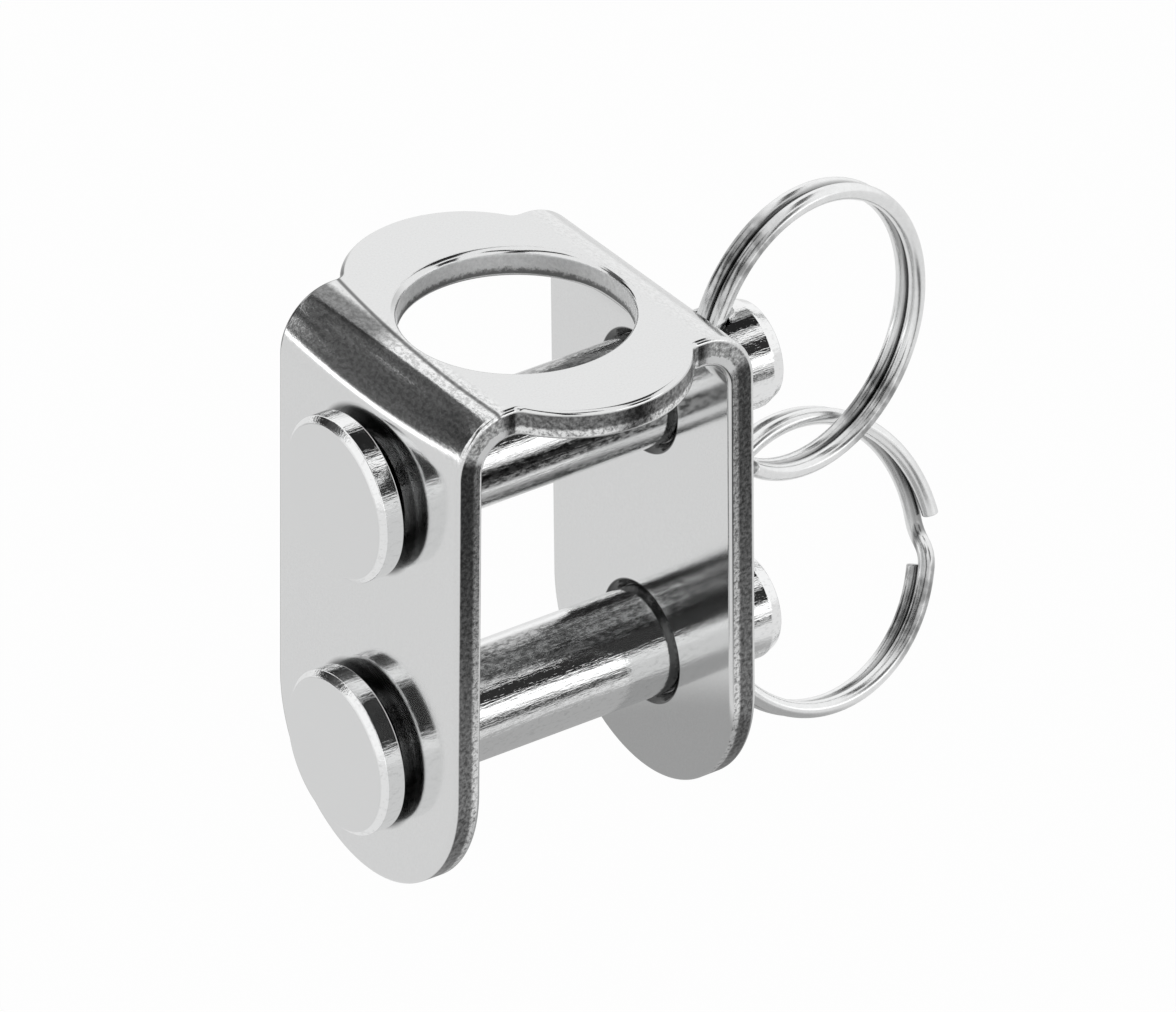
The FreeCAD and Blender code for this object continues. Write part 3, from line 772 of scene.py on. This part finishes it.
def stripSteel(f, s):
    material = bpy.data.materials.new("stripSteel")
    m = Maker(material)
    station, y, depth = m.marks("layout")
    fold = Fold(s)
    far = abs(station)
    turn = (far - fold.flat) * (math.degrees(1) / fold.outer)
    wall = depth.rise(*f["wallFrom"]) * (1 - depth.rise(*f["wallTo"]))
    outerFace = 1 - depth.rise(*f["outerTo"])
    underFace = depth.rise(*f["underFrom"])
    leftSide = 1 - station.rise(*f["leftTo"])
    boreRim = s["bore"] + s["boreTop"]
    inBore = 1 - (station * station + y * y).root().rise(*(boreRim + end for end in f["boreEnds"]))
    holeRim = s["holeRadius"] + s["holeChamfer"]
    offs = [far - fold.station(height) for height in s["holes"]]
    upper, lower = [(off * off + y * y).root() for off in offs]
    off = upper.least(lower)  # from the middle of the nearer pin hole
    # a ring painted darker in each pin hole's chamfer: painted shade round the pins
    rim = 1 - off.rise(*(holeRim + end for end in f["rimEnds"]))
    # the leg's outer face painted darker under and round the heads: painted shade where head and leg meet
    headShade = (1 - off.rise(*f["headShadeTo"])) * leftSide * outerFace

    marks = m.noise(f["markSize"], detail=3.0, rough=0.7)
    fine = m.noise(f["fineSize"])
    crazed = m.noise(f["crazeSize"], detail=4.0, stretch=(1, 0.6, 1), rough=0.75)
    folded = turn.band(*f["crazeTurn"]) * outerFace
    # a dark line painted along the crease: painted dark reflection
    crease = abs(far - f["creaseAt"] + y * f["creaseLean"] + (y / s["halfWidth"]) ** 2 * f["creaseBow"])
    paintedCrease = (1 - crease.rise(*f["creaseWidth"])) * outerFace * leftSide
    # the left bend's back half painted darker: painted dark reflection
    paintedDark = y.rise(*f["backHalfFrom"]) * leftSide * turn.band(*f["backHalfTurn"]) * outerFace
    backLeft = y.rise(*f["backFrom"]) * (1 - station.rise(*f["backStations"]))
    atBend = far.band(*f["bendEdge"])

    # how light the faces are
    crazing = (crazed.rise(*f["crazeContrast"]) - 0.5) * folded
    crazing = crazing * (f["crazeShade"] + leftSide * f["leftCrazeShade"])
    level = f["level"] * (1 + (fine - 0.5) * f["fineShade"] + crazing)
    # painted dark reflection on the left bend's back half and along its crease
    level = level * (1 - paintedDark * f["backHalfPaintedShade"]) * (1 - paintedCrease * f["creasePaintedShade"])
    # the web's underside painted darker: painted shade under the web
    level = level * (1 - (1 - far.rise(*f["underStations"])) * underFace * (1 - f["underShadeLevel"]))
    level = level * (1 - backLeft * depth.rise(*f["cornerFrom"]) * f["cornerShade"])

    # and the sheared edges and the bore's wall
    edge = f["edgeLevel"] * (f["markShade"][0] + marks.rise(*f["markContrast"]) * f["markShade"][1])
    edge = edge * (f["tornShade"][0] + depth.rise(*f["tornFrom"]) * f["tornShade"][1])
    edge = edge * (1 - backLeft * f["backShade"]) * (1 + atBend * f["bendEdgeGain"])
    byMarks, byDepth = f["boreTornShares"]
    torn = (marks * byMarks + depth * byDepth).rise(*f["boreTornFrom"])
    bore = (f["boreLevel"] + marks * f["boreMarks"]) * (1 - torn * f["boreTornShade"])
    level = level + (edge - level) * wall * (1 - inBore)
    level = level + (bore - level) * wall * inBore
    # painted shade round the heads and in the pin holes' chamfers
    level = level * (1 - headShade * f["headShadeDepth"]) * (1 - rim * f["rimPaintedShade"])

    wallRough = f["edgeRough"] + atBend * (f["bendEdgeRough"] - f["edgeRough"])
    wallRough = wallRough + (f["boreRough"] - wallRough) * inBore
    rough = f["rough"] + (wallRough - f["rough"]) * wall
    height = fine * f["fineDepth"] + crazed * folded * f["crazeDepth"] + marks * wall * f["markDepth"]
    m.steel(level.least(f["lightest"]).most(f["darkest"]), rough, height)
    return material


# pin finish: drawn shank, bands between the legs painted darker (painted reflection), the head's face satin
pinFinish = {"level": 0.90, "rough": 0.05, "streakSize": 0.22, "streakStretch": (0.10, 1, 1),
             "speckSize": 0.30, "speckStretch": (0.5, 1, 1), "speckTo": 0.2, "speckShade": 0.12,
             "speckShare": 0.5, "drawnDepth": 0.022, "faceEnds": (0.02, 0.12), "faceLevel": 0.78,
             "faceRough": 0.24, "faceSize": 0.16, "faceDepth": 0.0015,
             "paintedDarkReach": (-12.0, 10.0, 0.5), "mottleContrast": (0.35, 0.65), "mottle": 0.4}


# in the part's frame at rest: x along the pin, and the angle round it from the front upwards
def pinSteel(name, f, p, place):
    material = bpy.data.materials.new(name + "PinSteel")
    m = Maker(material)
    x, y, z = m.split(m.place())
    front = place["x"] - p["head"]
    face = 1 - x.rise(*(front + end for end in f["faceEnds"]))
    streaks = m.noise(f["streakSize"], detail=3.0, stretch=f["streakStretch"], rough=0.65)
    specks = m.noise(f["speckSize"], detail=3.0, stretch=f["speckStretch"], rough=0.7)
    fine = m.noise(f["faceSize"])
    level = f["level"] + face * (f["faceLevel"] - f["level"])
    level = level * (1 - (1 - face) * (0.5 - specks).rise(0.0, f["speckTo"]) * f["speckShade"])
    angle = (z - place["z"]).turn(y * -1) * math.degrees(1)
    mottle = (specks.rise(*f["mottleContrast"]) - 0.5) * f["mottle"]
    # bands painted darker with a mottle: painted dark reflection
    for start, end, soft, depth in place["paintedDark"]:
        darkBand = angle.band(start, end, soft) * x.band(*f["paintedDarkReach"])
        level = level * (1 - darkBand * (depth + mottle))
    height = fine * face * f["faceDepth"]
    height = height + (streaks + specks * f["speckShare"]) * (1 - face) * f["drawnDepth"]
    m.steel(level, f["rough"] + face * (f["faceRough"] - f["rough"]), height)
    return material


# ring finish: painted shade where the two turns touch, and two streaky stretches of painted dark reflection
ringFinish = {"level": 0.86, "rough": 0.22, "speckSize": 0.5, "speckDepth": 0.004, "speckShade": 0.16,
              "betweenTo": (0.05, 0.42), "betweenPaintedShade": 0.65, "paintedDarkSoft": 10,
              # the streaks' contrast, and their lightest and what is added to that
              "streakSize": 1.1, "streakContrast": (0.3, 0.7), "streakShade": (0.6, 0.8)}


def ringSteel(name, f, place):
    material = bpy.data.materials.new(name + "RingSteel")
    m = Maker(material)
    x, y, height = m.marks("layout")
    specks, streaks = m.noise(f["speckSize"]), m.noise(f["streakSize"])
    level = f["level"] * (1 + (specks - 0.5) * f["speckShade"])
    # painted shade where the two turns lie against each other
    level = level * (1 - (1 - abs(height).rise(*f["betweenTo"])) * f["betweenPaintedShade"])
    angle = y.turn(x) * math.degrees(1)
    mottle = f["streakShade"][0] + streaks.rise(*f["streakContrast"]) * f["streakShade"][1]
    # two streaky stretches painted darker: painted dark reflection
    for start, end, depth in place["paintedDark"]:
        level = level * (1 - angle.band(start, end, f["paintedDarkSoft"]) * depth * mottle)
    m.steel(level, f["rough"], specks * f["speckDepth"])
    return material


makeStrip(strip, stripSteel(stripFinish, strip))
print("folded strip made")
for name, place in pinPlaces.items():
    makePin(name, pin, place, pinSteel(name, pinFinish, pin, place))
print("clevis pins made")
for name, place in ringPlaces.items():
    makeRing(name, ring, place, ringSteel(name, ringFinish, place))
print("split rings made")

bpy.context.scene.view_settings.view_transform = "Standard"
